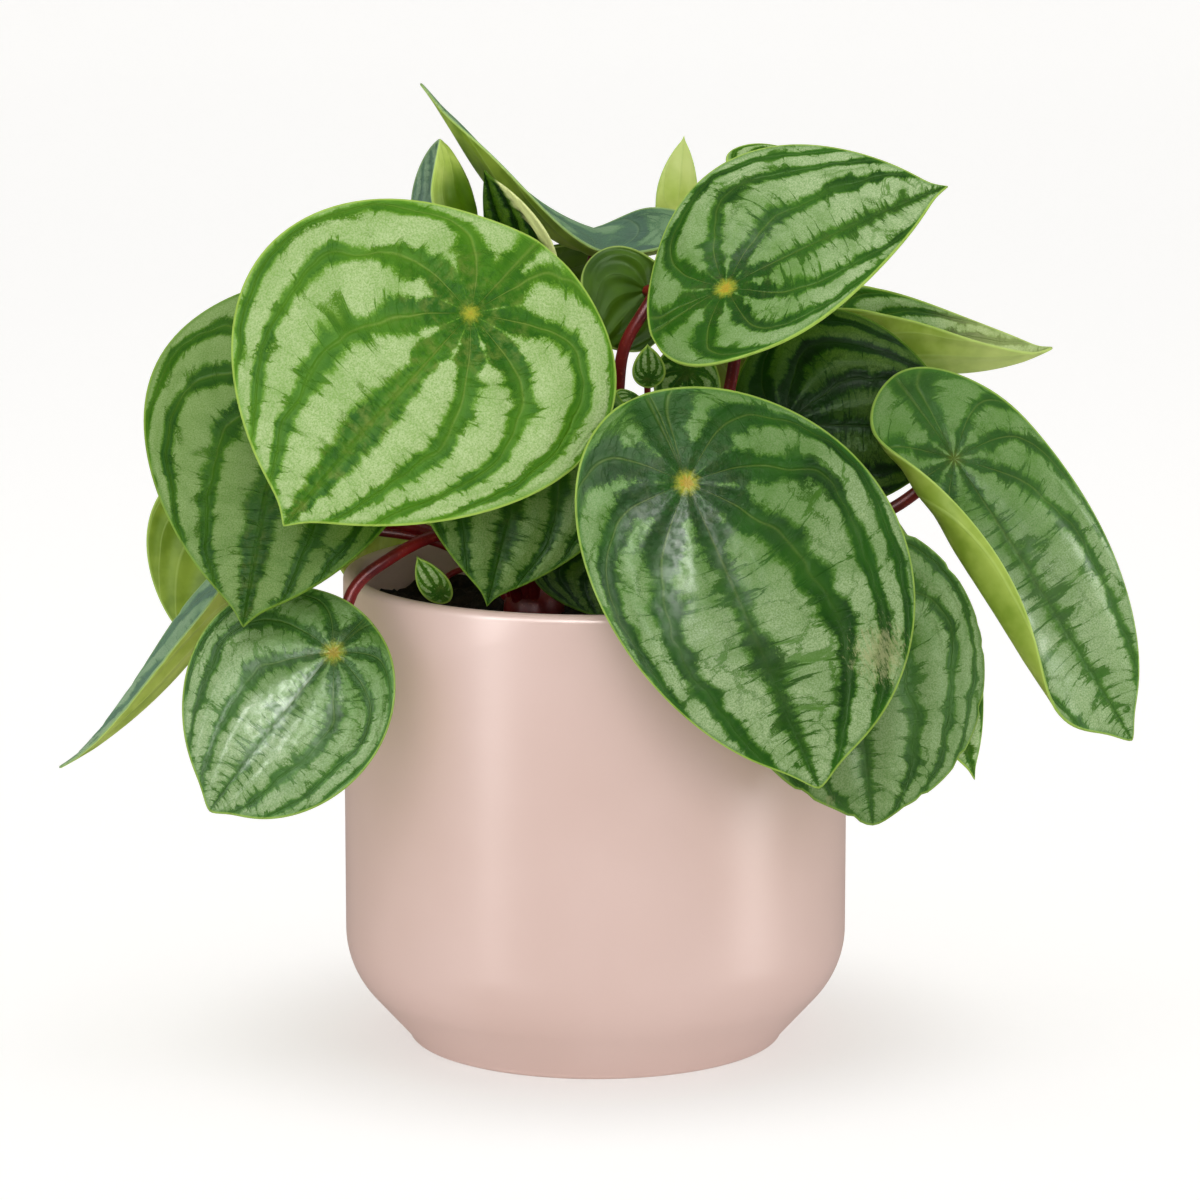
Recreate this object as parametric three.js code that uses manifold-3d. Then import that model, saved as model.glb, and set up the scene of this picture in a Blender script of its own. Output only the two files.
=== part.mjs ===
// A watermelon peperomia in a satin pink pot.
// Millimetres, +Z up. The origin is the middle of the pot's foot, and the plant's show side faces -Y.
import * as THREE from "three";
import { mergeVertices } from "three/addons/utils/BufferGeometryUtils.js";
import Module from "manifold-3d";

const wasm = await Module();
wasm.setup();

// Pot
const POT_RADIUS = 70;
const POT_HEIGHT = 132;
const POT_WALL = 4.6;
const FOOT_RADIUS = 52;
const FOOT_ROUND = 1.5;
const SHOULDER_HEIGHT = 31;
const SHOULDER_ROUND = 26;
const FLANK_ANGLE = 48;
const LIP_ROUND = 2;
const POT_FLOOR = 7;
const POT_SIDES = 48;

// Soil and crowns
const SEAT_GAP = 0.3;
const SOIL_TOP = 120;
const SOIL_RELIEF = 1.6;
const CROWN_RADIUS = 8.5;
const CROWN_FOOT = 104;
const CROWN_TOP = 130;
const CROWN_SIDES = 14;

// Leaves and stalks
const BLADE_THICKNESS = 0.8;
const LINE_STEPS = 24;
const BEND_STEPS = 14;
const STALK_SIDES = 6;
const STALK_STEPS = 8;
const FOOT_REACH = 4.5;
const FOOT_DEPTH = 7; // below the crown's top
const STALK_END = 5; // straight length under the blade

const DEGREE = Math.PI / 180;
const clamp01 = (x) => Math.min(1, Math.max(0, x));
const vec = (p) => new THREE.Vector3(...p);

// The direction that an azimuth (0 is the show side, 90 is +X) and an elevation point to.
function direction([azimuth, elevation]) {
  const level = Math.cos(elevation * DEGREE);
  return new THREE.Vector3(
    Math.sin(azimuth * DEGREE) * level,
    -Math.cos(azimuth * DEGREE) * level,
    Math.sin(elevation * DEGREE),
  );
}

// Solids from closed geometries, for the joins and cuts.
function solidOf(geometry) {
  const bare = new THREE.BufferGeometry();
  bare.setAttribute("position", geometry.getAttribute("position"));
  if (geometry.index) bare.setIndex(geometry.index);
  const merged = mergeVertices(bare, 1e-3);
  return new wasm.Manifold(
    new wasm.Mesh({
      numProp: 3,
      vertProperties: merged.getAttribute("position").array,
      triVerts: new Uint32Array(merged.index.array),
    }),
  );
}

function geometryOf(solid) {
  const mesh = solid.getMesh();
  const geometry = new THREE.BufferGeometry();
  geometry.setAttribute("position", new THREE.BufferAttribute(mesh.vertProperties, 3));
  geometry.setIndex(new THREE.BufferAttribute(mesh.triVerts, 1));
  geometry.computeVertexNormals();
  return geometry;
}

// Points of an arc in the profile plane, from one angle to another in degrees.
function arc(x, z, radius, from, to, steps) {
  return Array.from({ length: steps + 1 }, (_, i) => {
    const angle = (from + ((to - from) * i) / steps) * DEGREE;
    return new THREE.Vector2(x + radius * Math.cos(angle), z + radius * Math.sin(angle));
  });
}

// A profile of (radius, height) points turned about the Z axis.
function turned(profile, sides) {
  return new THREE.LatheGeometry(profile, sides).rotateX(Math.PI / 2);
}

// The wall's outline from the foot up to the top of the shoulder, `inset` mm inside the outer face.
function wallProfile(inset, steps) {
  const shoulder = arc(POT_RADIUS - SHOULDER_ROUND, SHOULDER_HEIGHT, SHOULDER_ROUND - inset,
    FLANK_ANGLE - 90, 0, steps);
  const slope = Math.tan(FLANK_ANGLE * DEGREE);
  const start = shoulder[0];
  const flankAt = (z) => new THREE.Vector2(start.x - (start.y - z) / slope, z);
  return { flankAt, shoulder };
}

function potGeometry() {
  const outer = wallProfile(0, 6);
  const inner = wallProfile(POT_WALL, 4);
  const bore = POT_RADIUS - POT_WALL;
  const footEdge = outer.flankAt(FOOT_ROUND);
  const profile = [
    new THREE.Vector2(0, 0),
    new THREE.Vector2(FOOT_RADIUS - FOOT_ROUND, 0),
    new THREE.Vector2(FOOT_RADIUS - FOOT_ROUND * 0.27, FOOT_ROUND * 0.35),
    footEdge,
    ...outer.shoulder,
    ...arc(POT_RADIUS - LIP_ROUND, POT_HEIGHT - LIP_ROUND, LIP_ROUND, 0, 90, 3),
    ...arc(bore + LIP_ROUND, POT_HEIGHT - LIP_ROUND, LIP_ROUND, 90, 180, 3),
    ...inner.shoulder.reverse(),
    inner.flankAt(POT_FLOOR),
    new THREE.Vector2(0, POT_FLOOR),
  ];
  return turned(profile, POT_SIDES);
}

// Low crumbly relief on top of the soil.
function soilRelief(x, y) {
  const swells = Math.sin(x * 0.31 + 1.2) * Math.cos(y * 0.27);
  const crumbs = Math.sin(x * 0.83) * Math.sin(y * 0.71 + 0.5);
  return SOIL_RELIEF * (swells + 0.6 * crumbs);
}

function soilGeometry(crowns) {
  const inner = wallProfile(POT_WALL + SEAT_GAP, 3);
  const edge = POT_RADIUS - POT_WALL - SEAT_GAP;
  const profile = [
    new THREE.Vector2(0, POT_FLOOR + SEAT_GAP),
    inner.flankAt(POT_FLOOR + SEAT_GAP),
    ...inner.shoulder,
    new THREE.Vector2(edge, SOIL_TOP),
    new THREE.Vector2(edge * 0.72, SOIL_TOP),
    new THREE.Vector2(edge * 0.42, SOIL_TOP),
    new THREE.Vector2(0, SOIL_TOP),
  ];
  const body = turned(profile, 28);
  const points = body.getAttribute("position");
  for (let i = 0; i < points.count; i++) {
    if (points.getZ(i) < SOIL_TOP - 1) continue;
    points.setZ(i, SOIL_TOP + soilRelief(points.getX(i), points.getY(i)));
  }
  let soil = solidOf(body);
  for (const { x, y } of crowns) {
    const radius = CROWN_RADIUS + SEAT_GAP;
    const height = 2 * (SOIL_TOP - CROWN_FOOT + SEAT_GAP);
    const hole = new THREE.CylinderGeometry(radius, radius, height, CROWN_SIDES).rotateX(Math.PI / 2);
    soil = soil.subtract(solidOf(hole.translate(x, y, SOIL_TOP)));
  }
  return geometryOf(soil);
}

// A line of the given length in a plane, whose heading in radians changes with s from 0 to 1.
function bentLine(length, heading) {
  const steps = LINE_STEPS;
  const marks = [{ along: 0, rise: 0, angle: heading(0) }];
  for (let i = 1; i <= steps; i++) {
    const last = marks[i - 1];
    const middle = heading((i - 0.5) / steps);
    marks.push({
      along: last.along + (Math.cos(middle) * length) / steps,
      rise: last.rise + (Math.sin(middle) * length) / steps,
      angle: heading(i / steps),
    });
  }
  return (distance) => {
    const place = clamp01(distance / length) * steps;
    const i = Math.min(steps - 1, Math.floor(place));
    const mix = (key) => THREE.MathUtils.lerp(marks[i][key], marks[i + 1][key], place - i);
    return { along: mix("along"), rise: mix("rise"), angle: mix("angle") };
  };
}

// What a plain blade has, where a leaf's own row says nothing else. Pairs are [left, right],
// as seen from above the blade with its tip down. Angles are in degrees.
const PLAIN_BLADE = {
  back: 0.36, // length behind the navel, of the length before it
  full: 1.15, // above 1 the ends of the outline are slimmer
  point: 0.5, // how far the widest place lies behind the middle
  nib: 0.05, // drawn-out tip, of the length
  shear: 0, // how far the left half is pushed towards the tip
  arch: 20, // fall of the midrib from navel to tip
  backArch: 12, // fall of the midrib behind the navel
  hook: 0, // more fall near the tip
  cup: [-12, -12], // turn of the blade from midrib to edge, up if positive
  cupPower: [1.3, 1.3],
  cupBack: null, // the cup at the back end, if another
  cupTip: null, // the cup at the tip, if another
  spokes: 24,
  rings: [0.42, 0.76, 1],
  stalkWidth: 3.4,
  stalkRise: 0.45,
  stalkReach: 0.32,
  stalkLean: 0.35,
};

// A peltate blade: a heart-shaped outline about the navel, where the stalk meets it, bent along and across.
class Blade {
  constructor(row) {
    Object.assign(this, PLAIN_BLADE, row);
    this.navelPoint = vec(this.navel);
    const chord = vec(this.tip).sub(this.navelPoint);
    const fall = (s) => -(this.arch * s + this.hook * clamp01(2 * s - 1) ** 2) * DEGREE;
    const unit = bentLine(1, fall)(1);
    this.length = chord.length() / Math.hypot(unit.along, unit.rise);
    this.backLength = this.back * this.length;
    this.front = bentLine(this.length, fall);
    this.rear = bentLine(this.backLength, (s) => -this.backArch * s * DEGREE);
    const toTip = chord.clone().normalize();
    const face = direction(this.facing);
    face.addScaledVector(toTip, -face.dot(toTip)).normalize();
    const dip = Math.atan2(unit.rise, unit.along);
    this.midrib = toTip.clone().multiplyScalar(Math.cos(dip)).addScaledVector(face, -Math.sin(dip));
    this.up = toTip.clone().multiplyScalar(Math.sin(dip)).addScaledVector(face, Math.cos(dip));
    this.left = new THREE.Vector3().crossVectors(this.midrib, this.up);
    this.widest = Math.max(...Array.from({ length: 90 }, (_, i) => this.swell(i * 2 * DEGREE)));
  }

  // Half-width of the outline at the polar angle psi from the tip, not yet scaled.
  swell(psi) {
    return Math.sin(psi) ** this.full * Math.sin(psi / 2) ** this.point;
  }

  // The outline: [across, along], left positive.
  outline(psi) {
    const side = psi >= 0 ? 0 : 1;
    const turn = Math.min(Math.abs(psi), Math.PI);
    const across = (side ? -1 : 1) * (this.width[side] * this.swell(turn)) / this.widest;
    const half = (this.length * (1 - this.nib) + this.backLength) / 2;
    const nib = this.nib * this.length * Math.exp(-((turn / 0.2) ** 2));
    const along = half * Math.cos(turn) + half - this.backLength + nib + this.shear * across;
    return [across, along];
  }

  // The bent blade's point and its upward normal at [across, along] of the flat one.
  at([across, along]) {
    const side = across >= 0 ? 0 : 1;
    const s = along / this.length;
    const spine = along >= 0 ? this.front(along) : this.rear(-along);
    if (along < 0) {
      spine.along = -spine.along;
      spine.angle = -spine.angle;
    }
    const reach = Math.abs(across);
    const endCup = ((s < 0 ? this.cupBack : this.cupTip) ?? this.cup)[side];
    const toEnd = clamp01(s < 0 ? -s / this.back : s ** 1.5);
    const cup = THREE.MathUtils.lerp(this.cup[side], endCup, toEnd) * DEGREE;
    const turnAt = (x) => cup * (x / this.width[side]) ** this.cupPower[side];
    const step = reach / BEND_STEPS;
    let flat = 0;
    let lift = 0;
    for (let i = 0; i < BEND_STEPS; i++) {
      const angle = turnAt(step * (i + 0.5));
      flat += Math.cos(angle) * step;
      lift += Math.sin(angle) * step;
    }
    if (side) flat = -flat;
    const tilt = side ? -turnAt(reach) : turnAt(reach);
    const bankUp = this.up.clone().multiplyScalar(Math.cos(spine.angle))
      .addScaledVector(this.midrib, -Math.sin(spine.angle));
    const point = this.navelPoint.clone()
      .addScaledVector(this.midrib, spine.along)
      .addScaledVector(this.up, spine.rise)
      .addScaledVector(this.left, flat)
      .addScaledVector(bankUp, lift);
    const normal = bankUp.multiplyScalar(Math.cos(tilt)).addScaledVector(this.left, -Math.sin(tilt));
    return { point, normal };
  }

  // Top and bottom skins of one polar grid about the navel, split alike, and the edge between them.
  geometry() {
    const spokes = this.spokes;
    const flat = [[0, 0]];
    for (const ring of this.rings) {
      for (let k = 0; k < spokes; k++) {
        const psi = (k <= spokes / 2 ? k : k - spokes) * ((2 * Math.PI) / spokes);
        flat.push(this.outline(psi).map((x) => x * ring));
      }
    }
    const skins = flat.map((place) => this.at(place));
    const positions = [];
    for (const way of [0.5, -0.5]) {
      for (const { point, normal } of skins) {
        positions.push(...point.clone().addScaledVector(normal, way * BLADE_THICKNESS));
      }
    }
    const under = flat.length;
    const index = [];
    const face = (a, b, c) => index.push(a, b, c, under + a, under + c, under + b);
    const id = (ring, k) => 1 + ring * spokes + (k % spokes);
    for (let k = 0; k < spokes; k++) {
      face(0, id(0, k + 1), id(0, k));
      for (let ring = 1; ring < this.rings.length; ring++) {
        face(id(ring - 1, k), id(ring - 1, k + 1), id(ring, k + 1));
        face(id(ring - 1, k), id(ring, k + 1), id(ring, k));
      }
      const [a, b] = [id(this.rings.length - 1, k), id(this.rings.length - 1, k + 1)];
      index.push(a, b, under + b, a, under + b, under + a);
    }
    const geometry = new THREE.BufferGeometry();
    geometry.setAttribute("position", new THREE.Float32BufferAttribute(positions, 3));
    geometry.setIndex(index);
    geometry.computeVertexNormals();
    return geometry;
  }

  // The stalk's centre line, from inside the crown to just under the navel.
  stalkCurve(crown) {
    const top = this.navelPoint.clone().addScaledVector(this.up, -BLADE_THICKNESS / 2 - SEAT_GAP);
    const away = new THREE.Vector3(top.x - crown.x, top.y - crown.y, 0).normalize();
    const foot = new THREE.Vector3(crown.x, crown.y, CROWN_TOP - FOOT_DEPTH).addScaledVector(away, FOOT_REACH);
    const span = foot.distanceTo(top);
    const rise = new THREE.Vector3(0, 0, 1).addScaledVector(away, this.stalkLean).normalize();
    const lower = foot.clone().addScaledVector(rise, this.stalkRise * span);
    const upper = top.clone().addScaledVector(this.up, -this.stalkReach * span);
    if (!this.via) return new THREE.CubicBezierCurve3(foot, lower, upper, top);
    const end = top.clone().addScaledVector(this.up, -STALK_END);
    return new THREE.CatmullRomCurve3([foot, ...this.via.map(vec), end, top], false, "centripetal");
  }
}

function stalkGeometry(blade, crown) {
  const round = new THREE.Shape(
    Array.from({ length: STALK_SIDES }, (_, i) => {
      const angle = (i * 2 * Math.PI) / STALK_SIDES;
      return new THREE.Vector2(Math.cos(angle), Math.sin(angle)).multiplyScalar(blade.stalkWidth / 2);
    }),
  );
  return new THREE.ExtrudeGeometry(round, { steps: STALK_STEPS, extrudePath: blade.stalkCurve(crown) });
}

// A crown is the short stem that all stalks of one plant grow from, and they are one piece with it.
function stemsGeometry(crown, blades) {
  const profile = [
    new THREE.Vector2(0, CROWN_FOOT),
    new THREE.Vector2(CROWN_RADIUS * 0.8, CROWN_FOOT),
    new THREE.Vector2(CROWN_RADIUS, CROWN_FOOT + 3),
    ...arc(0, CROWN_TOP - CROWN_RADIUS * 0.7, CROWN_RADIUS, 0, 60, 3),
    new THREE.Vector2(0, CROWN_TOP),
  ];
  let stems = solidOf(turned(profile, CROWN_SIDES).translate(crown.x, crown.y, 0));
  for (const blade of blades) stems = stems.add(solidOf(stalkGeometry(blade, crown)));
  return geometryOf(stems);
}

// A leaf at the back or side: it stands out at an azimuth, and hangs from its navel.
function outerLeaf(name, azimuth, reach, height, length, more = {}) {
  const out = direction([azimuth, 0]);
  const navel = out.clone().multiplyScalar(reach).setZ(height);
  const lean = (more.lean ?? 20) * DEGREE;
  const tip = navel.clone().addScaledVector(out, length * Math.sin(lean));
  tip.z -= length * Math.cos(lean);
  const width = more.width ?? length * 0.58;
  return { spokes: 18, ...more, name, navel: navel.toArray(), tip: tip.toArray(),
    facing: [azimuth, more.lean ?? 20], width: [width, width] };
}

// The plants: where each crown stands, and a row for each of its leaves.
const PLANTS = [
  {
    name: "left",
    crown: { x: -17, y: -8 },
    leaves: [
      { name: "leaf_front_left", navel: [-33, -56, 211], tip: [-82, -74, 157], facing: [0, 16],
        width: [53, 48], back: 0.37, shear: 0.14, full: 1.15, point: 0.4, arch: 14, cup: [-10, -10],
        via: [[-21, -20, 150], [-27, -26, 180], [-30, -33, 203]] },
      { name: "leaf_behind_left", navel: [-82, -28, 190], tip: [-93.7, -62, 127.5], facing: [-10, 26],
        width: [40, 40], back: 0.44, shear: -0.12, point: 0.4, arch: 20 },
      { name: "leaf_over_rim", navel: [-70, -58, 120], tip: [-103, -67, 78.5], facing: [-12, 22],
        width: [33, 27], back: 0.25, shear: -0.08, full: 1, point: 0.15, arch: 20,
        via: [[-28, -24, 144], [-42, -36, 148], [-55, -43, 143], [-65, -47, 135]] },
      { name: "leaf_hanging_left", navel: [-101, 6, 123], tip: [-150, 0, 76], facing: [-90, 38],
        width: [24, 22], cup: [34, 28], cupPower: [0.6, 0.6], arch: -30, spokes: 20,
        via: [[-40, 0, 140], [-66, 2, 144], [-84, 5, 127]] },
      { name: "leaf_underside_left", navel: [-103, 36, 143], tip: [-116, 38, 102], facing: [170, 5],
        width: [20, 22], point: 0.3, arch: 16, spokes: 18,
        via: [[-40, 2, 138], [-72, 13, 142]] },
      { name: "leaf_below_left", navel: [-16, -42, 182], tip: [-29, -56, 132], facing: [5, 14],
        width: [34, 31], arch: 20, point: 0.6, spokes: 20 },
      { name: "leaf_hooded_top", navel: [-33, 2, 226], tip: [-43, 6, 251], facing: [-80, 20],
        width: [26, 21], cup: [70, 75], cupPower: [0.7, 0.7], full: 0.75, point: 0, nib: 0, arch: -45,
        spokes: 18, stalkReach: 0.1 },
      { name: "leaf_pale_edge_top", navel: [-22, -12, 218.5], tip: [-30, -14, 244.5], facing: [-50, 10],
        width: [19, 5], cup: [0, 90], cupPower: [1, 2], spokes: 18, stalkReach: 0.1 },
      { name: "leaf_young_rim", navel: [-42, -44, 134], tip: [-48, -46, 144], facing: [-30, 30],
        width: [4, 4.5], spokes: 12, rings: [0.5, 1], stalkWidth: 1.6 },
      outerLeaf("leaf_side_left", 255, 57, 194, 50, { lean: 36 }),
      outerLeaf("leaf_back_left", 234, 66, 166, 56, { lean: 14 }),
    ],
  },
  {
    name: "right",
    crown: { x: 16, y: -9 },
    leaves: [
      { name: "leaf_front_right", navel: [24, -76, 169], tip: [59, -86, 89], facing: [6, 12],
        width: [34, 48], back: 0.3, shear: -0.16, full: 1.03, point: 0.2, arch: 14 },
      { name: "leaf_upper_right", navel: [35, -34, 215], tip: [95, -24, 241], facing: [0, 56],
        width: [28.5, 40.5], back: 0.36, shear: -0.2, arch: 12, cup: [5, 5] },
      { name: "leaf_low_right", navel: [66, -54, 139], tip: [74, -64, 74], facing: [24, 8],
        width: [38, 41], back: 0.28, shear: -0.08, full: 1, point: 0.05, arch: 12 },
      { name: "leaf_rolled_right", navel: [98, -18, 166], tip: [147, -26, 89], facing: [16, 10],
        width: [31, 26], back: 0.31, full: 1.03, point: 0.2, shear: 0.06, arch: 16,
        cup: [195, -12], cupPower: [2, 1.3], rings: [0.3, 0.5, 0.7, 0.85, 1],
        via: [[50, -12, 142], [81, -10, 150.5]] },
      { name: "leaf_shaded_right", navel: [52, -2, 173], tip: [104, 2, 171], facing: [0, 14],
        width: [24, 33], back: 0.3, arch: 16, spokes: 20 },
      { name: "leaf_curled_right", navel: [73.5, 28, 188.5], tip: [128, 28, 190.5], facing: [0, 84],
        width: [23, 24], point: 1.1, cup: [74, 70], cupPower: [0.5, 0.5], arch: -50, spokes: 20 },
      { name: "leaf_under_right", navel: [87, -38, 130], tip: [103, -44, 82], facing: [30, 8],
        width: [15, 14], back: 0.42, spokes: 18, via: [[40, -14, 140], [64, -20, 147], [78, -26, 141]] },
      { name: "leaf_young_high", navel: [14.5, -32, 190.5], tip: [14, -35, 200], facing: [0, 20],
        width: [4.5, 4.5], spokes: 12, rings: [0.5, 1], stalkWidth: 1.8 },
      { name: "leaf_young_low", navel: [10, -28, 184.5], tip: [5, -33, 183.5], facing: [0, 50],
        width: [4, 4], spokes: 12, rings: [0.5, 1], stalkWidth: 1.8 },
      outerLeaf("leaf_side_right", 103, 84, 142, 52, { lean: 20 }),
      { name: "leaf_striped_small", navel: [25, 4, 187], tip: [27, -1, 165], facing: [10, 20],
        width: [9.5, 9.5], spokes: 18 },
    ],
  },
  {
    name: "middle",
    crown: { x: 0, y: 17 },
    leaves: [
      { name: "leaf_saddle_top", navel: [0, 14, 219], tip: [-48, 8, 266], facing: [0, 84],
        width: [26, 26], cup: [2, 24], cupTip: [45, 125], cupBack: [95, 34], cupPower: [0.8, 0.8], arch: -74,
        hook: 40, backArch: -60, back: 0.47, nib: 0.1, rings: [0.3, 0.55, 0.8, 1] },
      { name: "leaf_behind_upper_right", navel: [49, 16, 239.5], tip: [72, 40, 238], facing: [-20, 40],
        width: [18, 18], arch: 10, spokes: 18, via: [[15, 17, 170], [38, 12, 212]] },
      { name: "leaf_pointed_top", navel: [23, 48, 224.5], tip: [25, 50, 247.5], facing: [180, 10],
        width: [6.5, 5.5], arch: -10, spokes: 18, via: [[30, 34, 170], [29, 42, 200]] },
      { name: "leaf_folded_middle", navel: [14, -17, 212], tip: [1, -26, 198], facing: [160, 30],
        width: [15, 18], cup: [50, 50], arch: 20, spokes: 18, via: [[5, 0, 160], [6, -20, 182], [8, -24, 198]] },
      { name: "leaf_inner_middle", navel: [1, -30, 142], tip: [3, -36, 124], facing: [10, 14],
        width: [19, 17], spokes: 18 },
      outerLeaf("leaf_back_high", 195, 52, 207, 56, { lean: 40 }),
      outerLeaf("leaf_back_low", 170, 92, 140, 56, { lean: 6 }),
      outerLeaf("leaf_back_right", 142, 70, 168, 56, { lean: 10 }),
      outerLeaf("leaf_back_left_low", 208, 94, 139, 50, { lean: 6 }),
    ],
  },
];

// Colours
const POT_PINK = new THREE.MeshStandardMaterial({ color: 0xe0bfb4, roughness: 0.42, metalness: 0 });
const SOIL_BROWN = new THREE.MeshStandardMaterial({ color: 0x2b211a, roughness: 0.95, metalness: 0 });
const STALK_RED = new THREE.MeshStandardMaterial({ color: 0x6e1c1c, roughness: 0.5, metalness: 0 });
const BLADE_GREEN = new THREE.MeshStandardMaterial({ color: 0x6f9a5c, roughness: 0.4, metalness: 0 });

const named = (name, geometry, material) => Object.assign(new THREE.Mesh(geometry, material), { name });

const peperomia = new THREE.Group();
peperomia.add(named("pot", potGeometry(), POT_PINK));
peperomia.add(named("soil", soilGeometry(PLANTS.map((plant) => plant.crown)), SOIL_BROWN));
for (const { name, crown, leaves } of PLANTS) {
  const plant = new THREE.Group();
  const blades = leaves.map((row) => new Blade(row));
  plant.add(named(`stems_${name}`, stemsGeometry(crown, blades), STALK_RED));
  for (const blade of blades) plant.add(named(blade.name, blade.geometry(), BLADE_GREEN));
  peperomia.add(plant);
}

export default peperomia;
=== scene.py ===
# %% [markdown]
# # A watermelon peperomia in a pink pot
#
# The real plant is a low tuft of round, fleshy leaves. The red stalk meets the blade inside its outline, at a
# point called the navel, as a handle meets an open umbrella. Silver stripes run from there between the veins.
# The pot is a cylinder of satin ceramic on a bevelled foot.
#
# The solids in the frame hold every size. This file gives them finer skins and their finishes. Lengths are in
# millimetres, as on a grower's ruler, and are turned into metres when a mesh is made.

import math

import bpy
import numpy as np
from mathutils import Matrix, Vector


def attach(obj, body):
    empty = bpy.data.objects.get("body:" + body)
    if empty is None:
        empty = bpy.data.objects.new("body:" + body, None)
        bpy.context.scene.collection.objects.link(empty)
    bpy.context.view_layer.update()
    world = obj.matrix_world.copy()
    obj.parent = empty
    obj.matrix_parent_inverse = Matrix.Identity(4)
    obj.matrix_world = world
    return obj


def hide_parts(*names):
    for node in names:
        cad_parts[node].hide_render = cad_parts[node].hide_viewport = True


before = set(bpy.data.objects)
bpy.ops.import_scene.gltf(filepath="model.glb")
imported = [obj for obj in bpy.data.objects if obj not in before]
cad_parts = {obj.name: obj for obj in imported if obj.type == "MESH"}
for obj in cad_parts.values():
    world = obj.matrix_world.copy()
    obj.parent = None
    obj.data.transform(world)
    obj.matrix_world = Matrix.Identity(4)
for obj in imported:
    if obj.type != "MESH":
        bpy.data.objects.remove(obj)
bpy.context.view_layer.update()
MM = 0.001

# %% [markdown]
# A leaf could be sculpted in its bent form, but it is easier to draw flat: as a heart-shaped outline about
# the navel, where each point lies so far across from the midrib and so far along towards the tip. Then it is
# bent, as the solids were: the midrib falls in an arc, and each side cups up or down. `PLAIN_BLADE` holds
# what an ordinary blade has, and a leaf's own row says only what is different in it.

# %% The plain blade
BLADE_THICKNESS = 0.8

PLAIN_BLADE = {
    "back": 0.36,  # length behind the navel, of the length before it
    "full": 1.15,  # above 1 the ends of the outline are slimmer
    "point": 0.5,  # how far the widest place lies behind the middle
    "nib": 0.05,  # drawn-out tip, of the length
    "shear": 0,  # how far the left half is pushed towards the tip
    "arch": 20,  # fall of the midrib from navel to tip, in degrees
    "backArch": 12,  # fall of the midrib behind the navel
    "hook": 0,  # more fall near the tip
    "cup": [-12, -12],  # turn of the blade from midrib to edge, up if positive
    "cupPower": [1.3, 1.3],  # above 1 the turn comes late, near the edge
    "cupBack": None,  # the cup at the back end, and
    "cupTip": None,  # at the tip, where they differ
    "stalkWidth": 3.4,
    "stalkRise": 0.45,  # the pull on the stalk's line at its foot, of its span
    "stalkReach": 0.32,  # and under the blade
    "stalkLean": 0.35,  # how far the stalk starts off the upright
    "via": None,  # places that the stalk passes, where the plant shows them
    "age": 0.5,  # 0 is a young yellow-green blade, 1 an old blue-green one
    "puff": 0.45,  # swell of the silver stripes, in mm
    "ripple": 0.5,  # waves of the margin, in mm
    "bites": 0,  # depth of the notches in the margin, in mm
    "scars": [],  # brown patches: across and along in mm, radius, strength
    "spot": 1,  # how clear the yellow spot over the stalk is
    "veins": [46, 43],  # angle between two veins at the navel, left and right of the midrib
    # Painted shade: how far the green is darkened where other leaves shadow the blade, at the left and right
    # edge.
    "deep": [0, 0],  # how far shade deepens the green, at the left and right edge
    # Painted shadows: darker patches where part of a blade lies in shade, such as under a hood.
    "hollows": [],  # darker patches, told in the same way
    # The next row is painted reflection: the grey-blue sheen of an upper face seen edge-on, painted into its
    # colour.
    "bloom": 0,  # grey-blue wax on the upper face
    "pale": 0,  # width of a pale crescent along the left margin, in mm
    "yellow": 0,  # how far the end of the blade is yellow-green on both faces
    "bands": 1,  # width of the dark bands, of the usual
    "soft": 0,  # how far the pattern is veiled by an even green
    "shines": [],  # wet-looking patches
}
print("properties of a blade:", len(PLAIN_BLADE))

# %% [markdown]
# Two tools come first. A direction is told as a gardener tells it: which way round the pot, and how far up. A
# line that bends, such as a midrib, is drawn by adding up short steps, each at the heading it has there.

# %% Point a way and bend a line
LINE_STEPS = 24


def pointing(azimuth, elevation):
    """The direction of an azimuth (0 is the show side, 90 is +X) and an elevation, in degrees."""
    a, e = math.radians(azimuth), math.radians(elevation)
    return np.array([math.sin(a) * math.cos(e), -math.cos(a) * math.cos(e), math.sin(e)])


def bent_line(length, heading):
    """A line of that length whose heading changes on the way, as a function of the distance."""
    steps = np.arange(LINE_STEPS + 1) / LINE_STEPS
    middle = heading(steps[:-1] + 0.5 / LINE_STEPS)
    along = np.concatenate([[0], np.cumsum(np.cos(middle))]) * length / LINE_STEPS
    rise = np.concatenate([[0], np.cumsum(np.sin(middle))]) * length / LINE_STEPS
    angle = heading(steps)

    def place(distance):
        share = np.clip(distance / length, 0, 1)
        return [np.interp(share, steps, track) for track in (along, rise, angle)]

    return place


def unit(v):
    return v / np.linalg.norm(v)


print("the show side faces", pointing(0, 0))

# %% [markdown]
# The class below bends a flat point into its place on the leaf. It first finds the plane of the midrib from
# two points that can be seen on any leaf, the navel and the tip, and from the way the blade faces. Numbers
# come as whole arrays, so one call places every point of a blade.

# %% Bend a flat blade into its place
BEND_STEPS = 14
SEAT_GAP = 0.3  # between two pieces that touch
CROWN_TOP = 130
FOOT_DEPTH = 7  # a stalk starts this far under the crown's top
FOOT_REACH = 4.5  # and this far off the crown's axis
STALK_END = 5  # the last bit of a steered stalk, straight up to the blade


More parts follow.
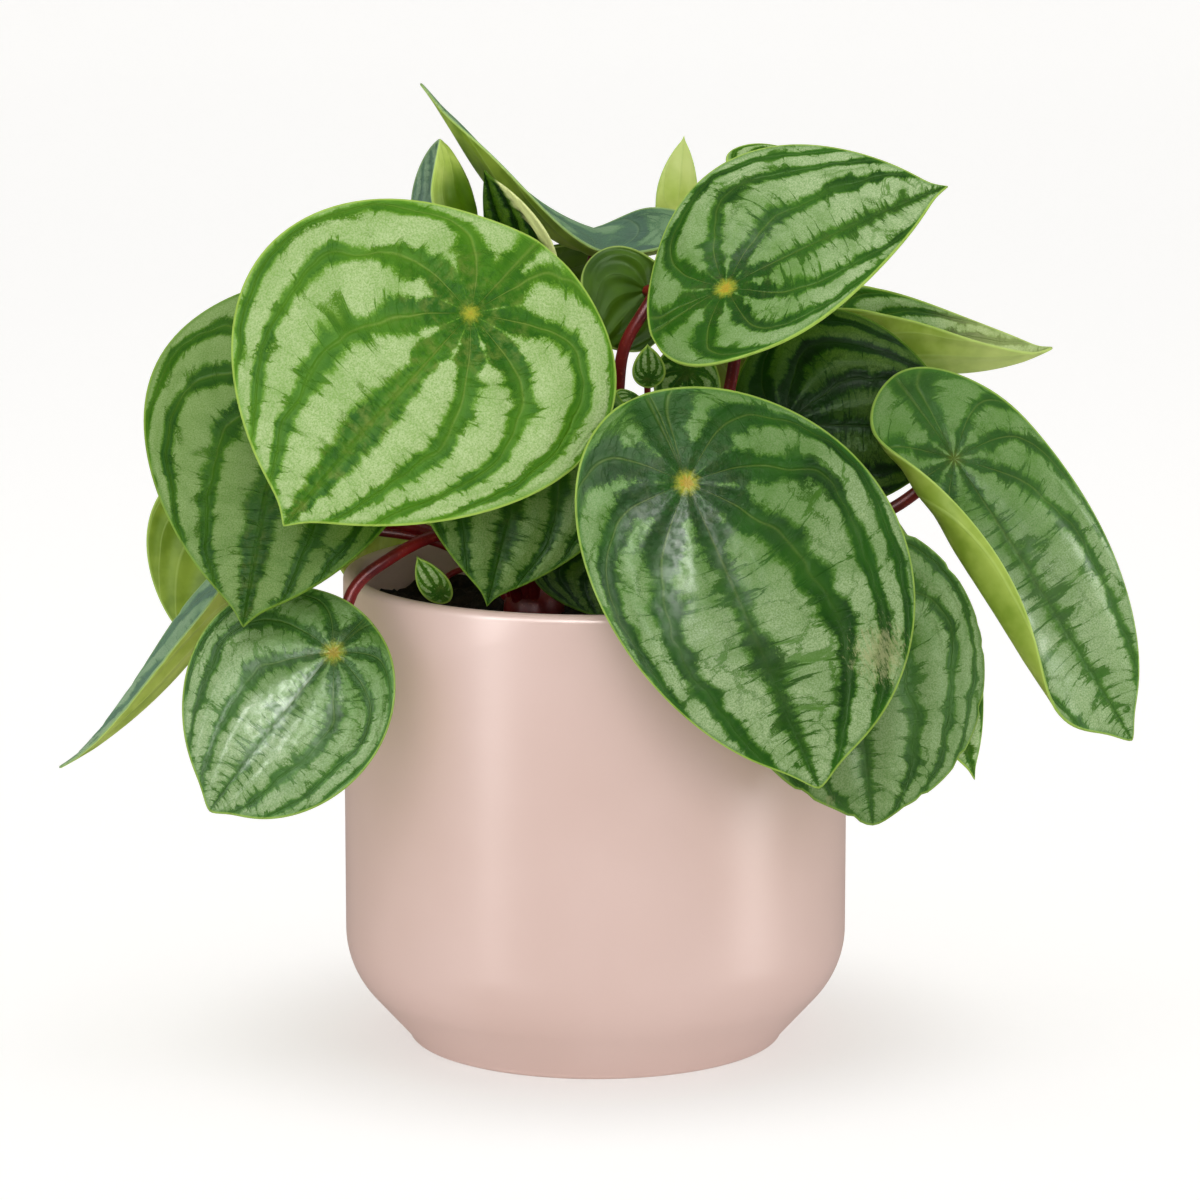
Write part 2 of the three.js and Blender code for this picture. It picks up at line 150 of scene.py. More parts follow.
class Blade:
    def __init__(self, row):
        self.__dict__.update(PLAIN_BLADE, **row)
        self.navel, self.tip = np.array(self.navel, float), np.array(self.tip, float)
        chord = self.tip - self.navel

        def fall(s):
            return -np.radians(self.arch * s + self.hook * np.clip(2 * s - 1, 0, 1) ** 2)

        reach, drop, _ = bent_line(1, fall)(np.array(1.0))
        self.length = np.linalg.norm(chord) / math.hypot(reach, drop)
        self.back_length = self.back * self.length
        self.front = bent_line(self.length, fall)
        self.rear = bent_line(self.back_length, lambda s: -np.radians(self.backArch * s))
        to_tip = unit(chord)
        face = pointing(*self.facing)
        face = unit(face - face.dot(to_tip) * to_tip)
        dip = math.atan2(drop, reach)
        self.midrib = to_tip * math.cos(dip) - face * math.sin(dip)
        self.up = to_tip * math.sin(dip) + face * math.cos(dip)
        self.left = np.cross(self.midrib, self.up)
        self.widest = self.swell(np.radians(np.arange(0, 180, 2.0))).max()

    def swell(self, psi):
        """Half-width of the outline at the polar angle psi from the tip, not yet scaled."""
        return np.abs(np.sin(psi)) ** self.full * np.abs(np.sin(psi / 2)) ** self.point

    def outline(self, psi):
        """Across (left is positive) and along, for polar angles from -180 to 180 degrees."""
        turn = np.abs(psi)
        width = np.where(psi >= 0, self.width[0], -self.width[1])
        across = width * self.swell(turn) / self.widest
        half = (self.length * (1 - self.nib) + self.back_length) / 2
        nib = self.nib * self.length * np.exp(-((turn / 0.2) ** 2))
        along = half * np.cos(turn) + half - self.back_length + nib + self.shear * across
        return across, along

    def bend(self, across, along):
        """The place and the upward normal of points of the flat blade."""
        right = (across < 0).astype(int)
        s = along / self.length
        ahead, behind = self.front(np.maximum(along, 0)), self.rear(np.maximum(-along, 0))
        run, rise, angle = [
            np.where(along >= 0, a, b * sign) for a, b, sign in zip(ahead, behind, (-1, 1, -1))
        ]
        pick = lambda pair: np.array(pair, float)[right]
        ends = np.where(s < 0, pick(self.cupBack or self.cup), pick(self.cupTip or self.cup))
        to_end = np.clip(np.where(s < 0, -s / self.back, np.maximum(s, 0) ** 1.5), 0, 1)
        cup = np.radians(pick(self.cup) * (1 - to_end) + ends * to_end)
        reach, width, power = np.abs(across), pick(self.width), pick(self.cupPower)
        flat, lift = np.zeros_like(reach), np.zeros_like(reach)
        for i in range(BEND_STEPS):
            turn = cup * (reach * (i + 0.5) / BEND_STEPS / width) ** power
            flat += np.cos(turn) * reach / BEND_STEPS
            lift += np.sin(turn) * reach / BEND_STEPS
        sign = np.where(right, -1, 1)
        tilt = sign * cup * (reach / width) ** power
        column = lambda x: x[:, None]
        bank_up = self.up * column(np.cos(angle)) - self.midrib * column(np.sin(angle))
        point = self.navel + self.midrib * column(run) + self.up * column(rise)
        point = point + self.left * column(flat * sign) + bank_up * column(lift)
        normal = bank_up * column(np.cos(tilt)) - self.left * column(np.sin(tilt))
        return point, normal

    def stalk_points(self, crown):
        """The points that steer the stalk from its foot in the crown to just under the navel."""
        top = self.navel - self.up * (BLADE_THICKNESS / 2 + SEAT_GAP)
        level = np.array([1.0, 1.0, 0.0])
        away = unit((top - crown) * level)
        foot = np.array([*crown[:2], CROWN_TOP - FOOT_DEPTH]) + away * FOOT_REACH
        span = np.linalg.norm(top - foot)
        if self.via:
            return [foot, *map(np.array, self.via), top - self.up * STALK_END, top]
        rise = unit(np.array([0, 0, 1]) + away * self.stalkLean)
        return [foot, foot + rise * self.stalkRise * span, top - self.up * self.stalkReach * span, top]


trial = Blade(dict(navel=[0, 0, 0], tip=[0, -60, 0], facing=[0, 90], width=[30, 30]))
print("a midrib with its ends 60 mm apart is", round(float(trial.length), 1), "mm long")

# %% [markdown]
# The leaves themselves, as read off the plant: where the navel and the tip are, which way the blade faces,
# and how wide each half is. Small leaves at the back and sides hang from their navels, so an azimuth, a reach
# and a height are enough for them. Three crowns share the pot, and each has its own leaves.

# %% The leaves of the three plants
OUTER_WIDTH, OUTER_AGE = 0.58, 0.7  # half the width of a small outer blade, of its length, and its age


def leaf(name, navel, tip, facing, width, **own):
    """A leaf told by its navel and tip, the way it faces, and the half-widths left and right."""
    return dict(name="leaf_" + name, navel=navel, tip=tip, facing=facing, width=width, **own)


def outer_leaf(name, azimuth, reach, height, length, lean, **own):
    """A small leaf told by its navel's azimuth, reach and height, which leans off the upright."""
    out, slant = pointing(azimuth, 0), math.radians(lean)
    navel = out * reach + [0, 0, height]
    tip = navel + out * length * math.sin(slant) - [0, 0, length * math.cos(slant)]
    half = length * OUTER_WIDTH
    return leaf(name, navel, tip, [azimuth, lean], [half, half], age=OUTER_AGE, **own)


LEFT_LEAVES = [
    leaf("front_left", [-33, -56, 211], [-82, -74, 157], [0, 16], [53, 48], back=0.37, shear=0.14, point=0.4,
         arch=14, cup=[-10, -10], via=[[-21, -20, 150], [-27, -26, 180], [-30, -33, 203]], age=0, ripple=0.7,
         veins=[50, 41]),
    leaf("behind_left", [-82, -28, 190], [-93.7, -62, 127.5], [-10, 26], [40, 40], back=0.44, shear=-0.12,
         point=0.4, age=0.1, deep=[0.4, 0.95]),
    leaf("over_rim", [-70, -58, 120], [-103, -67, 78.5], [-12, 22], [33, 27], back=0.25, shear=-0.08, full=1,
         point=0.15, age=0.8, bands=0.75, soft=0.25, shines=[[2, 22, 16, 0.75]],
         via=[[-28, -24, 144], [-42, -36, 148], [-55, -43, 143], [-65, -47, 135]]),
    leaf("hanging_left", [-101, 6, 123], [-150, 0, 76], [-90, 38], [24, 22], cup=[34, 28],
         cupPower=[0.6, 0.6], arch=-30, bites=1.2, age=0.6, bloom=0.5,
         via=[[-40, 0, 140], [-66, 2, 144], [-84, 5, 127]]),
    leaf("underside_left", [-103, 36, 143], [-116, 38, 102], [170, 5], [20, 22], point=0.3, arch=16,
         via=[[-40, 2, 138], [-72, 13, 142]], age=1, deep=[0.3, 0.1]),
    leaf("below_left", [-16, -42, 182], [-29, -56, 132], [5, 14], [34, 31], point=0.6, age=0.4,
         deep=[0.8, 0.7]),
    leaf("hooded_top", [-33, 2, 226], [-43, 6, 251], [-80, 20], [26, 21], cup=[70, 75], cupPower=[0.7, 0.7],
         full=0.75, point=0, nib=0, arch=-45, stalkReach=0.1, age=0.4, bloom=0.6,
         hollows=[[12, 6, 13, 1], [-12, 6, 13, 1]]),
    leaf("pale_edge_top", [-22, -12, 218.5], [-30, -14, 244.5], [-50, 10], [19, 5], cup=[0, 90],
         cupPower=[1, 2], stalkReach=0.1, age=0.8, ripple=0, deep=[0.97, 0.97], pale=3.6),
    leaf("young_rim", [-42, -44, 134], [-48, -46, 144], [-30, 30], [4, 4.5], stalkWidth=1.6, age=0.3,
         puff=0.05, ripple=0),
    outer_leaf("side_left", 255, 57, 194, 50, lean=36),
    outer_leaf("back_left", 234, 66, 166, 56, lean=14),
]
RIGHT_LEAVES = [
    leaf("front_right", [24, -76, 169], [59, -86, 89], [6, 12], [34, 48], back=0.3, shear=-0.16, full=1.03,
         point=0.2, arch=14, age=0.9, scars=[[-29, 62, 11, 0.9]], deep=[0.1, 0.3], bands=0.95,
         shines=[[9, 34, 24, 1], [-6, 56, 16, 0.3]]),
    leaf("upper_right", [35, -34, 215], [95, -24, 241], [0, 56], [28.5, 40.5], shear=-0.2, arch=12,
         cup=[5, 5], age=0.75, bands=0.85, shines=[[-12, 10, 12, 0.6]]),
    leaf("low_right", [66, -54, 139], [74, -64, 74], [24, 8], [38, 41], back=0.28, shear=-0.08, full=1,
         point=0.05, arch=12, age=0.65, bites=1.5, scars=[[12, 58, 2.4, 1]], bands=0.8, soft=0.3,
         deep=[0.5, 0.25], shines=[[6, 34, 16, 0.4]]),
    leaf("rolled_right", [98, -18, 166], [147, -26, 89], [16, 10], [31, 26], back=0.31, full=1.03, point=0.2,
         shear=0.06, arch=16, cup=[195, -12], cupPower=[2, 1.3], via=[[50, -12, 142], [81, -10, 150.5]],
         age=0.8, spot=0.1, bands=0.6, soft=0.2, shines=[[-4, 40, 26, 1]]),
    leaf("shaded_right", [52, -2, 173], [104, 2, 171], [0, 14], [24, 33], back=0.3, arch=16, age=0.85,
         deep=[0.92, 0.92]),
    leaf("curled_right", [73.5, 28, 188.5], [128, 28, 190.5], [0, 84], [23, 24], full=0.75,
         cup=[74, 70], cupPower=[0.5, 0.5], arch=-50, age=0.6, yellow=0.35,
         scars=[[-5, 54, 2.6, 1], [5, 54, 2.6, 1]]),
    leaf("under_right", [87, -38, 130], [103, -44, 82], [30, 8], [15, 14], back=0.42,
         via=[[40, -14, 140], [64, -20, 147], [78, -26, 141]]),
    leaf("young_high", [14.5, -32, 190.5], [14, -35, 200], [0, 20], [4.5, 4.5], stalkWidth=1.8, puff=0.05,
         ripple=0),
    leaf("young_low", [10, -28, 184.5], [5, -33, 183.5], [0, 50], [4, 4], stalkWidth=1.8, puff=0.05,
         ripple=0),
    outer_leaf("side_right", 103, 84, 142, 52, lean=20),
    leaf("striped_small", [25, 4, 187], [27, -1, 165], [10, 20], [9.5, 9.5], puff=0.15, ripple=0.2),
]
MIDDLE_LEAVES = [
    leaf("saddle_top", [0, 14, 219], [-48, 8, 266], [0, 84], [26, 26], cup=[2, 24], cupTip=[45, 125],
         cupBack=[95, 34], cupPower=[0.8, 0.8], arch=-74, hook=40, backArch=-60, back=0.47, nib=0.1, age=0.9,
         ripple=0, bloom=0.4),
    leaf("behind_upper_right", [49, 16, 239.5], [72, 40, 238], [-20, 40], [18, 18], arch=10,
         via=[[15, 17, 170], [38, 12, 212]], age=0.3),
    leaf("pointed_top", [23, 48, 224.5], [25, 50, 247.5], [180, 10], [6.5, 5.5], arch=-10,
         via=[[30, 34, 170], [29, 42, 200]], age=0, puff=0.1, yellow=0.4),
    leaf("folded_middle", [14, -17, 212], [1, -26, 198], [160, 30], [15, 18], cup=[50, 50],
         via=[[5, 0, 160], [6, -20, 182], [8, -24, 198]], deep=[0.94, 1], age=1),
    leaf("inner_middle", [1, -30, 142], [3, -36, 124], [10, 14], [19, 17], deep=[0.92, 0.92]),
    outer_leaf("back_high", 195, 52, 207, 56, lean=40, deep=[0.95, 0.95]),
    outer_leaf("back_low", 170, 92, 140, 56, lean=6),
    outer_leaf("back_right", 142, 70, 168, 56, lean=10),
    outer_leaf("back_left_low", 208, 94, 139, 50, lean=6),
]
crowns = {"left": (-17, -8, LEFT_LEAVES), "right": (16, -9, RIGHT_LEAVES), "middle": (0, 17, MIDDLE_LEAVES)}
plants = {
    name: (np.array([x, y, 0.0]), [Blade(row) for row in rows]) for name, (x, y, rows) in crowns.items()
}
print("blades:", {name: len(blades) for name, (_, blades) in plants.items()})

# %% [markdown]
# Every vein leaves the navel, arches out, and turns back to the tip or runs out into the margin. Two angles
# tell which vein a point is near: one is seen from the navel, off the midrib, and the other from the tip.
# Along a vein the first shrinks while the second grows, so their sum, with a weight on the second, stays the
# same. A heavier weight near the margin makes the outer veins follow it. `ring` is 0 at the navel and 1 on
# the margin. The sum over the angle between two veins is the vein's number: 0 on the midrib.

# %% Number the veins
TIP_WEIGHT, MARGIN_WEIGHT = 0.3, 2.0
TIP_CALM = 1.5  # the margin's weight is full from 1 / 1.5 of the length off the tip


def from_nearest_vein(across, along, ring, vein_angle):
    """0 on a vein and 0.5 halfway to the next one. One more vein runs straight back from the navel."""
    from_navel, from_tip = np.arctan2(np.abs(across), along), np.arctan2(np.abs(across), 1 - along)
    near_tip = np.minimum(np.hypot(across, 1 - along) * TIP_CALM, 1)
    number = (from_navel + (TIP_WEIGHT + MARGIN_WEIGHT * ring**4 * near_tip) * from_tip) / vein_angle
    return np.minimum(np.abs(number - np.round(number)), (np.pi - from_navel) / vein_angle)


beside = float(from_nearest_vein(0.1, 0.5, 0.5, math.radians(45)))
print("a point 0.1 off the midrib, halfway to the tip, is", round(beside, 2), "of a gap off a vein")

# %% [markdown]
# Each blade could have a paint of its own, but then a change would have to be made 31 times. One paint serves
# them all, so each vertex keeps what the paint has to know there: its flat place, how near the margin it is,
# the angle between veins, its blade's age, how pale, brown or wet it is, and how much painted shade and
# painted sheen it takes. A patch, such as a scar or a painted shadow, is told by its place across and along,
# its radius and its strength.

# %% Note what the paint asks for
SPOKES = 120
RINGS = np.concatenate([np.linspace(0.05, 0.9, 18), [0.94, 0.965, 0.982, 0.993, 1.0]])
WHOLE_BLADE = ("age", "bands", "soft", "spot", "bloom")


def keep_numbers(mesh, name, values):
    kind, field = ("FLOAT_VECTOR", "vector") if values.ndim == 2 else ("FLOAT", "value")
    layer = mesh.attributes.new(name, kind, "POINT")
    layer.data.foreach_set(field, values.astype(np.float32).ravel())


def patches(rows, across, along, squeeze=1.0, power=2):
    """The strength in each row's patch, and 0 away from all. A high power makes the edge crisp."""
    strength = np.zeros_like(across)
    for patch_across, patch_along, radius, most in rows:
        far = np.hypot((across - patch_across) * squeeze, along - patch_along) / radius
        strength = np.maximum(strength, most * np.exp(-(far**power)))
    return strength


def paint_numbers(blade, seed, across, along, ring, vein_angle):
    """By name, the numbers that the paint asks for at each point of the flat blade."""
    share = along / blade.length
    margin = (1 - ring) * np.hypot(across, along) / np.maximum(ring, RINGS[0])
    # Painted shade, from the left edge to the right, with painted shadows in patches on top.
    rightness = np.clip(0.5 - across / sum(blade.width), 0, 1)
    deep = blade.deep[0] * (1 - rightness) + blade.deep[1] * rightness
    crescent = blade.pale * np.sin(np.pi * np.clip(share + 0.1, 0, 1)) * (across > 0)
    pale = np.clip((crescent - margin) / 0.5, 0, 1) * (blade.pale > 0)
    numbers = {name: np.full_like(along, getattr(blade, name)) for name in WHOLE_BLADE}
    return numbers | {
        "flat_place": np.stack([across / blade.length, share, np.full_like(along, seed)], 1),
        "size": np.full_like(along, blade.length), "ring": ring, "from_margin": margin,
        "vein_angle": vein_angle, "deep": np.maximum(deep, patches(blade.hollows, across, along, power=6)),
        "pale": np.maximum(pale, blade.yellow * np.clip((share - 0.35) / 0.3, 0, 1)),
        "brown": patches(blade.scars, across, along),
        "shine": patches(blade.shines, across, along, squeeze=1.5),
    }


print("numbers that a whole blade shares:", WHOLE_BLADE)

# %% [markdown]
# A blade is made of two skins over one grid. A square grid would cut the margin into steps, so this one is
# polar, about the navel. Its rings crowd towards the margin, where the light-green edge turns from the upper
# face to the lower one, and the last ring is thinner, which rounds the rim. The silver stripes swell up
# between the veins, the skin dips over the stalk, and the margin waves.

# %% Make a blade's mesh
RIM_SHARE = 0.55  # the rim's thickness, of the blade's
RIDGE_START, RIDGE_END = 0.3, 0.15  # how far the ridges keep off the navel, of the length, and the margin
DIMPLE_DEPTH, DIMPLE_WIDTH, DIMPLE_MOST = 0.01, 0.06, 0.6  # two of the length, one in mm
MARGIN_WAVES = 4
BITE_START = 0.35  # only the highest waves of the bites cut into the margin


def mesh_of(name, points, faces):
    mesh = bpy.data.meshes.new(name)
    mesh.from_pydata([tuple(p) for p in np.asarray(points) * MM], [], faces)
    mesh.shade_smooth()
    return mesh


def relief(blade, seed, across, along, ring, vein_angle):
    """How far each point stands up from the bent blade, in mm."""
    length, from_navel = blade.length, np.hypot(across, along)
    from_vein = from_nearest_vein(across / length, along / length, ring, vein_angle)
    near = np.clip(from_navel / (RIDGE_START * length), 0, 1)
    ridges = -blade.puff * np.cos(2 * np.pi * from_vein) * near * np.clip((1 - ring) / RIDGE_END, 0, 1)
    dimple = min(DIMPLE_MOST, DIMPLE_DEPTH * length) * np.exp(-((from_navel / (DIMPLE_WIDTH * length)) ** 2))
    waves = np.sin(MARGIN_WAVES * np.arctan2(across, along) + seed) * blade.ripple * ring**4
    return ridges - dimple + waves


def skin_faces():
    """The faces of one skin: at each spoke a triangle at the navel, then four-sided faces outwards."""
    cell, faces = lambda r, k: 1 + r * SPOKES + k % SPOKES, []
    for k in range(SPOKES):
        faces.append((0, cell(0, k + 1), cell(0, k)))
        for r in range(len(RINGS) - 1):
            faces.append((cell(r, k), cell(r, k + 1), cell(r + 1, k + 1), cell(r + 1, k)))
    return faces


def blade_mesh(blade, seed):
    psi = np.arange(SPOKES) * 2 * np.pi / SPOKES
    psi = np.where(psi > np.pi, psi - 2 * np.pi, psi)
    edge = blade.outline(psi)
    bite = np.maximum(0, np.sin(23 * psi + seed) * np.sin(9 * psi + 2 * seed) - BITE_START) * blade.bites
    shrink = 1 - bite / np.hypot(*edge)
    across, along = [np.concatenate([[0], np.outer(RINGS, side * shrink).ravel()]) for side in edge]
    ring = np.concatenate([[0], np.repeat(RINGS, SPOKES)])
    vein_angle = np.radians(np.where(across >= 0, *blade.veins))
    grid = (across, along, ring, vein_angle)
    point, normal = blade.bend(across, along)
    point = point + normal * relief(blade, seed, *grid)[:, None]
    half = BLADE_THICKNESS / 2 * np.where(ring > 0.999, RIM_SHARE, 1)[:, None]
    upper, under = skin_faces(), len(across)
    lower = [tuple(under + i for i in reversed(face)) for face in upper]
    last_ring = list(range(under - SPOKES, under))
    rim = [(a, b, under + b, under + a) for a, b in zip(last_ring, last_ring[1:] + last_ring[:1])]
    both = np.concatenate([point + normal * half, point - normal * half])
    mesh = mesh_of(blade.name, both, upper + lower + rim)
    mesh.polygons.foreach_set("material_index", [0] * len(upper) + [1] * len(lower) + [0] * len(rim))
    for name, values in paint_numbers(blade, seed, *grid).items():
        keep_numbers(mesh, name, np.concatenate([values, values]))
    return mesh


print("faces of a blade:", 2 * len(skin_faces()) + SPOKES)

# %% [markdown]
# Shader nodes do sums, but a sum drawn as boxes and wires is hard to read. The small class below wraps one
# output of a node, so that `1 - mask` or `a * b + c` in Python adds the right Math nodes by itself. Colours
# keep to Mix nodes, because a Math node would turn a colour grey.

# %% Write shader sums as Python
def adds(operation, swapped=False):
    """A method that adds the Math node of that operation."""
    def method(wire, *others):
        terms = [*others, wire] if swapped else [wire, *others]
        return wire.paint.node("Math", {"operation": operation}, terms)

    return method


class Wire:
    def __init__(self, paint, socket):
        self.paint, self.socket = paint, socket

    __add__ = __radd__ = adds("ADD")
    __mul__ = __rmul__ = adds("MULTIPLY")
    __sub__, __rsub__ = adds("SUBTRACT"), adds("SUBTRACT", swapped=True)
    __truediv__, __pow__ = adds("DIVIDE"), adds("POWER")
    abs, atan2, nearest_whole = adds("ABSOLUTE"), adds("ARCTAN2"), adds("ROUND")
    high, low = adds("MAXIMUM"), adds("MINIMUM")

    def log(self):
        return adds("LOGARITHM")(self, math.e)

    def to_nearest(self):
        """How far a number is from the nearest whole one."""
        return (self - self.nearest_whole()).abs()

    def step(self, start, end):
        """0 up to start and 1 from end, with a soft rise between. start may be above end."""
        flip = start > end
        low, high = (end, start) if flip else (start, end)
        limits = {"Value": self, "From Min": low, "From Max": high}
        node = self.paint.node("MapRange", {"interpolation_type": "SMOOTHSTEP"}, limits)
        return 1 - node if flip else node


print("named sums of a wire:", [name for name in vars(Wire) if not name.startswith("_")])

# %% [markdown]
# A paint is one material. One method adds any node: its type, its settings, and then the values or wires of
# its sockets. The others give short names to the nodes that a leaf needs often.

# %% Mix paints
class Paint:
    def __init__(self, name):
        self.material = bpy.data.materials.new(name)
        self.material.use_nodes = True
        self.tree = self.material.node_tree
        self.tree.nodes.clear()

    def node(self, kind, settings, sockets, output=0):
        made = self.tree.nodes.new("ShaderNode" + kind)
        for name, value in settings.items():
            setattr(made, name, value)
        pairs = sockets.items() if isinstance(sockets, dict) else enumerate(sockets)
        for key, value in pairs:
            if isinstance(value, Wire):
                self.tree.links.new(value.socket, made.inputs[key])
            else:
                made.inputs[key].default_value = value
        return Wire(self, made.outputs[output])

    def number(self, name, output="Fac"):
        return self.node("Attribute", {"attribute_name": name}, {}, output)

    def apart(self, vector):
        return [self.node("SeparateXYZ", {}, [vector], axis) for axis in range(3)]

    def together(self, x, y, z=0.0):
        return self.node("CombineXYZ", {}, [x, y, z])

    def noise(self, vector, scale, detail=3.0, roughness=0.5):
        values = {"Vector": vector, "Scale": scale, "Detail": detail, "Roughness": roughness}
        return self.node("TexNoise", {}, values)

    def cracks(self, vector, scale):
        """Distance to the nearest border between random cells."""
        values = {"Vector": vector, "Scale": scale}
        return self.node("TexVoronoi", {"feature": "DISTANCE_TO_EDGE"}, values, "Distance")

    def mix(self, share, first, second, blend="MIX"):
        """From the first colour to the second. Three numbers are a colour as a screen shows it."""
        first, second = [colour(*c) if isinstance(c, tuple) and len(c) == 3 else c for c in (first, second)]
        settings = {"data_type": "RGBA", "blend_type": blend}
        return self.node("Mix", settings, {"Factor": share, 6: first, 7: second}, 2)

    def coats(self, skin, *coats):
        """One coat after another on the skin: how far it covers, and its colour."""
        for share, tint in coats:
            skin = self.mix(share, skin, tint)
        return skin

    def finish(self, sockets):
        shader = self.node("BsdfPrincipled", {}, sockets)
        result = self.tree.nodes.new("ShaderNodeOutputMaterial")
        self.tree.links.new(shader.socket, result.inputs["Surface"])
        return self.material


def colour(red, green, blue):
    """A colour as seen on a screen, 0 to 255, made linear for the shader."""
    shares = (red / 255, green / 255, blue / 255)
    linear = [c / 12.92 if c <= 0.04045 else ((c + 0.055) / 1.055) ** 2.4 for c in shares]
    return (*linear, 1.0)


print("the grey that a screen shows as 128 reflects", round(colour(128, 128, 128)[0], 3))

# %% [markdown]
# The stripes could be an image laid on the blade, but it would blur close up, and every blade would need its
# own. So the paint finds the veins too, and the mesh's sums are said once more with wires. `LeafPlace` holds
# what both faces ask for; its `way` grows along a vein from the navel to the tip. The upper face adds noises
# of several sizes. Some are laid out by vein number and way, so that their specks follow the veins.

# %% Find the veins in the paint
SPOT_RADIUS, HEART_RADIUS = 3.2, 1.0  # of the yellow spot over the stalk, in mm


class LeafPlace:
    def __init__(self, paint, seed_step):
        self.age, self.size = paint.number("age"), paint.number("size")
        self.across, self.along, self.seed = paint.apart(paint.number("flat_place", "Vector"))
        self.place = paint.together(self.across * self.size, self.along * self.size, self.seed * seed_step)
        u, ahead = self.across.abs(), 1 - self.along
        self.near_navel = (u * u + self.along * self.along) ** 0.5
        near_tip = (u * u + ahead * ahead) ** 0.5
        from_navel, vein_angle = u.atan2(self.along), paint.number("vein_angle")
        weight = TIP_WEIGHT + MARGIN_WEIGHT * paint.number("ring") ** 4.0 * (near_tip * TIP_CALM).low(1.0)
        self.number = (from_navel + weight * u.atan2(ahead)) / vein_angle
        self.way = ((self.near_navel + 0.03) / (near_tip + 0.03)).log()
        self.from_back = (math.pi - from_navel) / vein_angle


class UpperPlace(LeafPlace):
    def __init__(self, paint):
        super().__init__(paint, seed_step=7.3)
        near_navel, size, age = self.near_navel, self.size, self.age
        self.slow = paint.noise(self.place, 0.05, 2.0)
        self.midrib = self.number.step(0.5, 0.2)
        wander = (self.slow - 0.5) * 0.8 * near_navel.step(0.0, 0.5) * self.number.low(1.0)
        self.number = self.number + wander
        self.from_vein = self.number.to_nearest().low(self.from_back)
        # Each half of a blade gets noises of its own.
        self.side = self.seed + self.across.step(-0.001, 0.001) * 3.1
        # Long soft tongues, short teeth and fine specks feather the bands.
        self.tongues = paint.noise(self.by_vein(1.1, 3.0), 1.0, 2.0)
        self.teeth = paint.noise(self.by_vein(1.6, 13.0), 1.0, 3.0, 0.6)
        self.fine = paint.noise(self.place, 1.5, 4.0, 0.7)
        self.grain = paint.noise(self.place, 2.4, 2.0, 0.7)
        ragged = near_navel / paint.number("bands") + (self.tongues - 0.5) * 0.2 + (self.fine - 0.5) * 0.1
        self.navel_zone = ragged.step(0.32, 0.1)
        star = near_navel * size - self.from_vein.step(0.4, 0.0) * 0.5 + (self.fine - 0.5) * 3.6 - age
        self.spot = star.step(SPOT_RADIUS, 0.0) * size.step(20.0, 50.0) * paint.number("spot")
        self.spot_heart = star.step(HEART_RADIUS, 0.0) * self.spot * (0.3 + 0.4 * age)

    def by_vein(self, across, along):
        """A place for a noise whose specks are drawn out along the veins."""
        return self.number.paint.together(self.number * across, self.way * along, self.side)


print("the veins bend by", TIP_WEIGHT, "inside and by", MARGIN_WEIGHT, "more along the margin")

# %% [markdown]
# Bands of dark green follow the veins and merge round the navel. The silver between them is air under the
# skin. Its edges are feathered, because small side veins carry green with them, as fine dark cracks that thin
# out in the silver. Old blades have broader bands.

# %% Draw the silver and its cracks
BAND_WIDTH, AGE_WIDTH, NAVEL_WIDTH = 0.17, 0.05, 0.34  # from a vein outwards; halfway to the next is 0.5


def silver_and_cracks(paint, at):
    """1 on the silver and 0 on the bands, and 1 on the cracks."""
    age, from_vein, midrib = at.age, at.from_vein, at.midrib
    spread = (BAND_WIDTH + age * AGE_WIDTH + at.navel_zone * NAVEL_WIDTH) * paint.number("bands")
    spread = spread + midrib * (0.06 - 0.17 * age)
    ragged = (1 - midrib * 0.7 * age) * (0.3 + 0.16 * age)
    reach = from_vein + (at.tongues - 0.5) * ragged + (at.teeth - 0.5) * 0.17 + (at.fine - 0.5) * 0.2
    silver = (reach - spread).step(-0.08, 0.1)

    coarse = paint.together(at.number * 0.45 + (at.fine - 0.5) * 0.3, at.way * 5.0 + (at.teeth - 0.5) * 1.1,
                            at.side)
    thinning = from_vein * (0.22 - 0.05 * age) + (at.tongues - 0.5) * 0.18
    crack = (paint.cracks(coarse, 1.0) + thinning).step(0.1, 0.045)
    narrow = paint.together(at.number * 1.5 + (at.fine - 0.5) * 0.5, at.way * 2.2 + at.teeth * 0.7, at.side)
    net = paint.cracks(narrow, 1.0) + (1 - age) * 0.15 + (at.slow - 0.5) * 0.15
    crack = crack.high(net.step(0.05, 0.01) * 0.6)
    silver = silver * (1 - 0.8 * crack)
    silver = silver * (0.66 + 0.9 * (at.tongues - 0.2)).low(1.0)
    return silver * (1 - age * 0.45 * at.near_navel.step(0.62, 0.2)), crack


print("a young band fills", round(2 * BAND_WIDTH, 2), "of the gap between two veins")

# %% [markdown]
# A young blade is yellow-green and an old one blue-green, so each colour is a mix by age. Between the dark
# and the silver runs a thin fresh green, which also lies along the middle of a young band. The bands of a
# young blade are mottled with olive.

